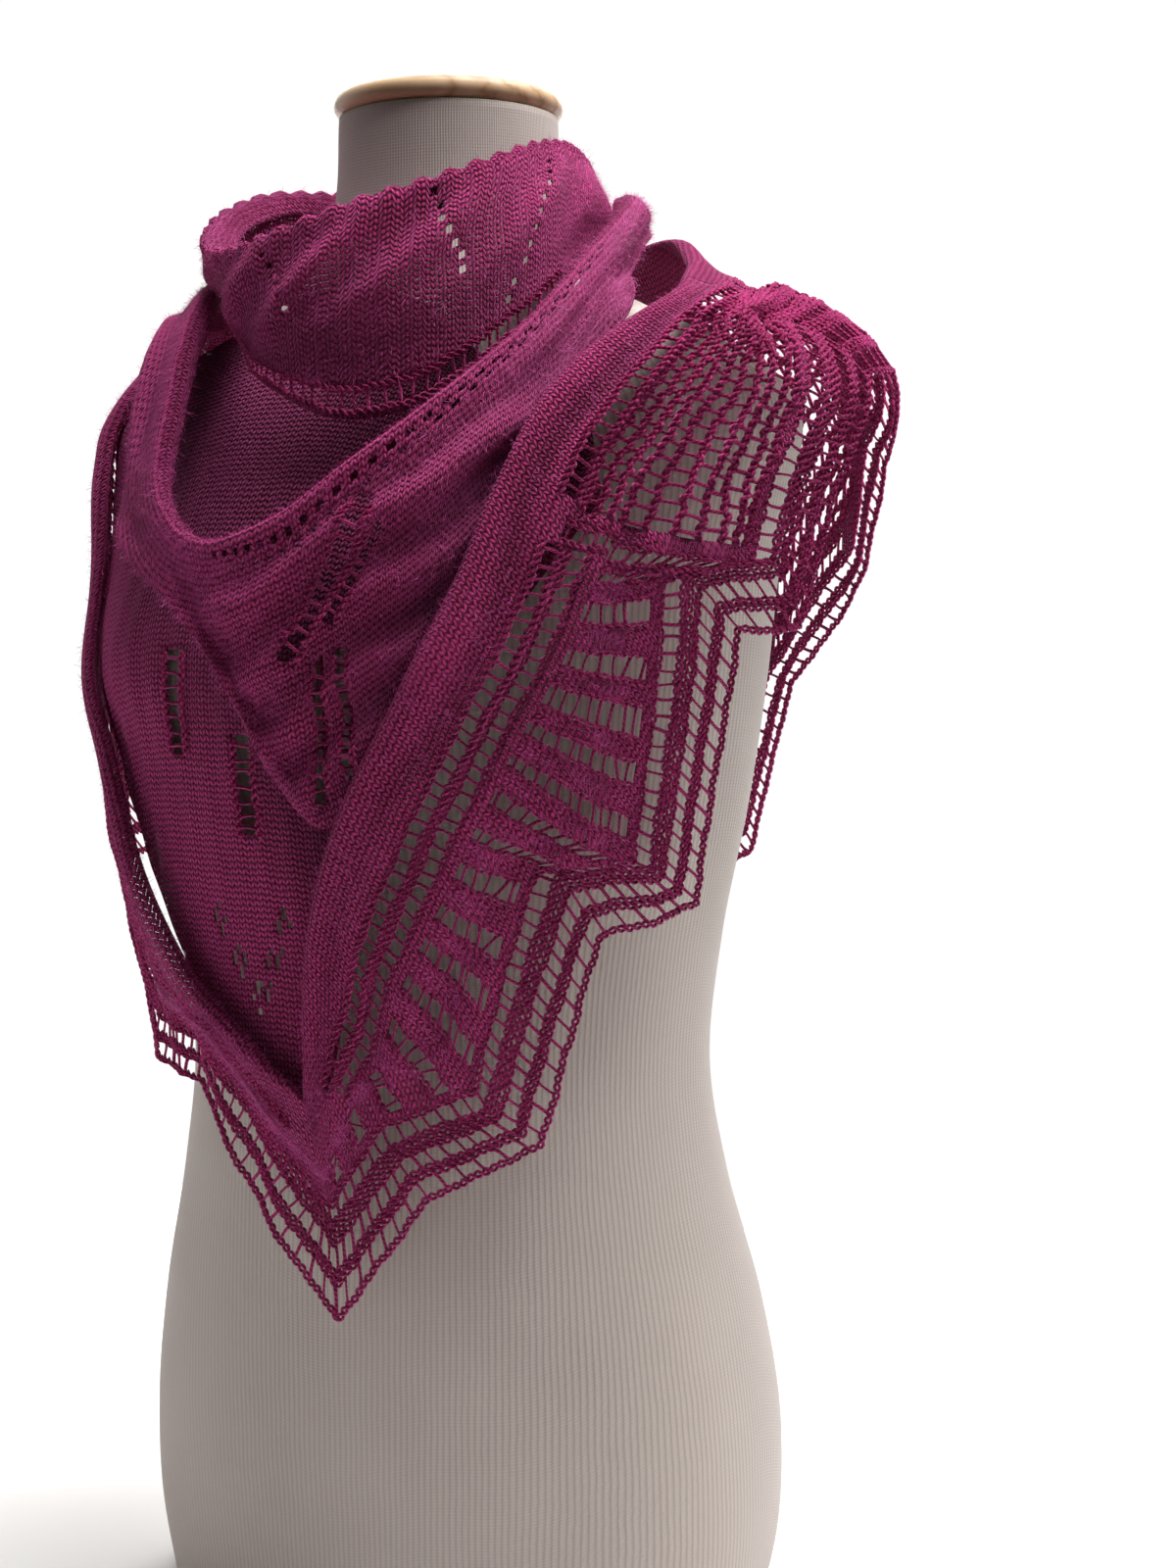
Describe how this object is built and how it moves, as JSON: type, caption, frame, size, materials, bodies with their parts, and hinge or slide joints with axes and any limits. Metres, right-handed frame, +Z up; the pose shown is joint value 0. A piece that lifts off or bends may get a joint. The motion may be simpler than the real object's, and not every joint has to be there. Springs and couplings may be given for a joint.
{
  "type": "lace shawl on a dress form",
  "caption": "Hand-knit wool lace shawl with a toothed edging, wound as a kerchief over a limbless padded dress form with a wooden neck cap.",
  "frame": {"origin": "centre of the form's flat base, on the surface it stands on", "axes": "+Z up, the form faces -Y, its left side is +X"},
  "size_m": [0.3974, 0.3198, 0.6975],
  "materials": {
    "jersey": "off-white cotton jersey, fine vertical ribs",
    "wood": "pale turned wood, satin",
    "wool": "deep raspberry fine wool, stocking stitch, slight halo",
    "wool_lace": "deep raspberry fine wool, open ladder lace"
  },
  "bodies": {
    "root": {"dress_form": "jersey", "neck_cap": "wood", "neck_cowl": "wool", "chest_swag": "wool", "chest_layer": "wool", "front": "wool", "back_left": "wool", "back_right": "wool", "edging_front": "wool_lace", "edging_back_left": "wool_lace", "edging_back_right": "wool_lace"}
  },
  "joints": []
}
